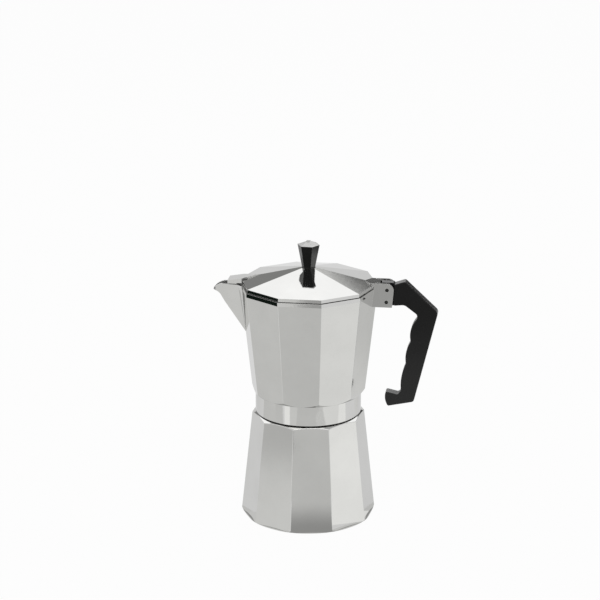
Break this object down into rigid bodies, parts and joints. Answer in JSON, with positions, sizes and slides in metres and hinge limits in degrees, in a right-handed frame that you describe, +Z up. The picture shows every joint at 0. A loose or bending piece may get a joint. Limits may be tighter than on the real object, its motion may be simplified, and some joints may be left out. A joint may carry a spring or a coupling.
{
  "type": "moka pot",
  "caption": "Faceted aluminium stove-top coffee pot: boiler, funnel and collector screwed together, hinged lid with a knob, spout and black side handle.",
  "frame": {"origin": "on the pot's axis, in the plane of the boiler's flat underside", "axes": "+Z up along the pot's axis, +X towards the handle, -X towards the spout"},
  "size_m": [0.1979, 0.1186, 0.251],
  "materials": {
    "polished_aluminium": "polished",
    "cast_aluminium": "as cast",
    "sheet_aluminium": "satin",
    "white_rubber": "matte",
    "dark_rubber": "matte",
    "black_plastic": "satin",
    "brass": "machined",
    "steel": "brushed"
  },
  "bodies": {
    "boiler_body": {"boiler": "polished_aluminium", "safety_valve_body": "brass", "safety_valve_washer": "dark_rubber", "safety_valve_cap": "brass", "safety_valve_spring": "steel", "funnel": "sheet_aluminium", "funnel_plate": "sheet_aluminium"},
    "valve_plunger": {"safety_valve_plunger": "brass", "safety_valve_seal": "dark_rubber"},
    "seal_stack": {"gasket": "white_rubber", "filter_plate": "sheet_aluminium"},
    "collector_body": {"collector": "polished_aluminium", "riser_column": "cast_aluminium", "handle": "black_plastic", "hinge_pin": "steel", "handle_pin": "steel"},
    "lid_body": {"lid": "polished_aluminium", "knob": "black_plastic", "knob_cap": "sheet_aluminium", "knob_insert": "brass", "knob_screw": "steel", "knob_washer": "steel"}
  },
  "joints": [
    {"name": "collector_turn", "type": "hinge", "parent": "seal_stack", "child": "collector_body", "pos_m": [0, 0, 0.11], "axis": [0, 0, 1], "range_deg": [0, 720]},
    {"name": "collector_lift", "type": "slide", "parent": "boiler_body", "child": "seal_stack", "axis": [0, 0, 1], "range_m": [0, 0.007]},
    {"name": "lid_hinge", "type": "hinge", "parent": "collector_body", "child": "lid_body", "pos_m": [0.0695, 0, 0.2114], "axis": [0, 1, 0], "range_deg": [0, 100]},
    {"name": "valve_lift", "type": "slide", "parent": "boiler_body", "child": "valve_plunger", "axis": [-0.1804, 0.9782, 0.1029], "range_m": [0, 0.0015], "stiffness_N_per_m": 800, "springref_m": -0.003, "deforming": ["safety_valve_spring"]}
  ],
  "couplings": [
    {"joint": "collector_lift", "follows": "collector_turn", "m_per_rad": 0.000557}
  ]
}
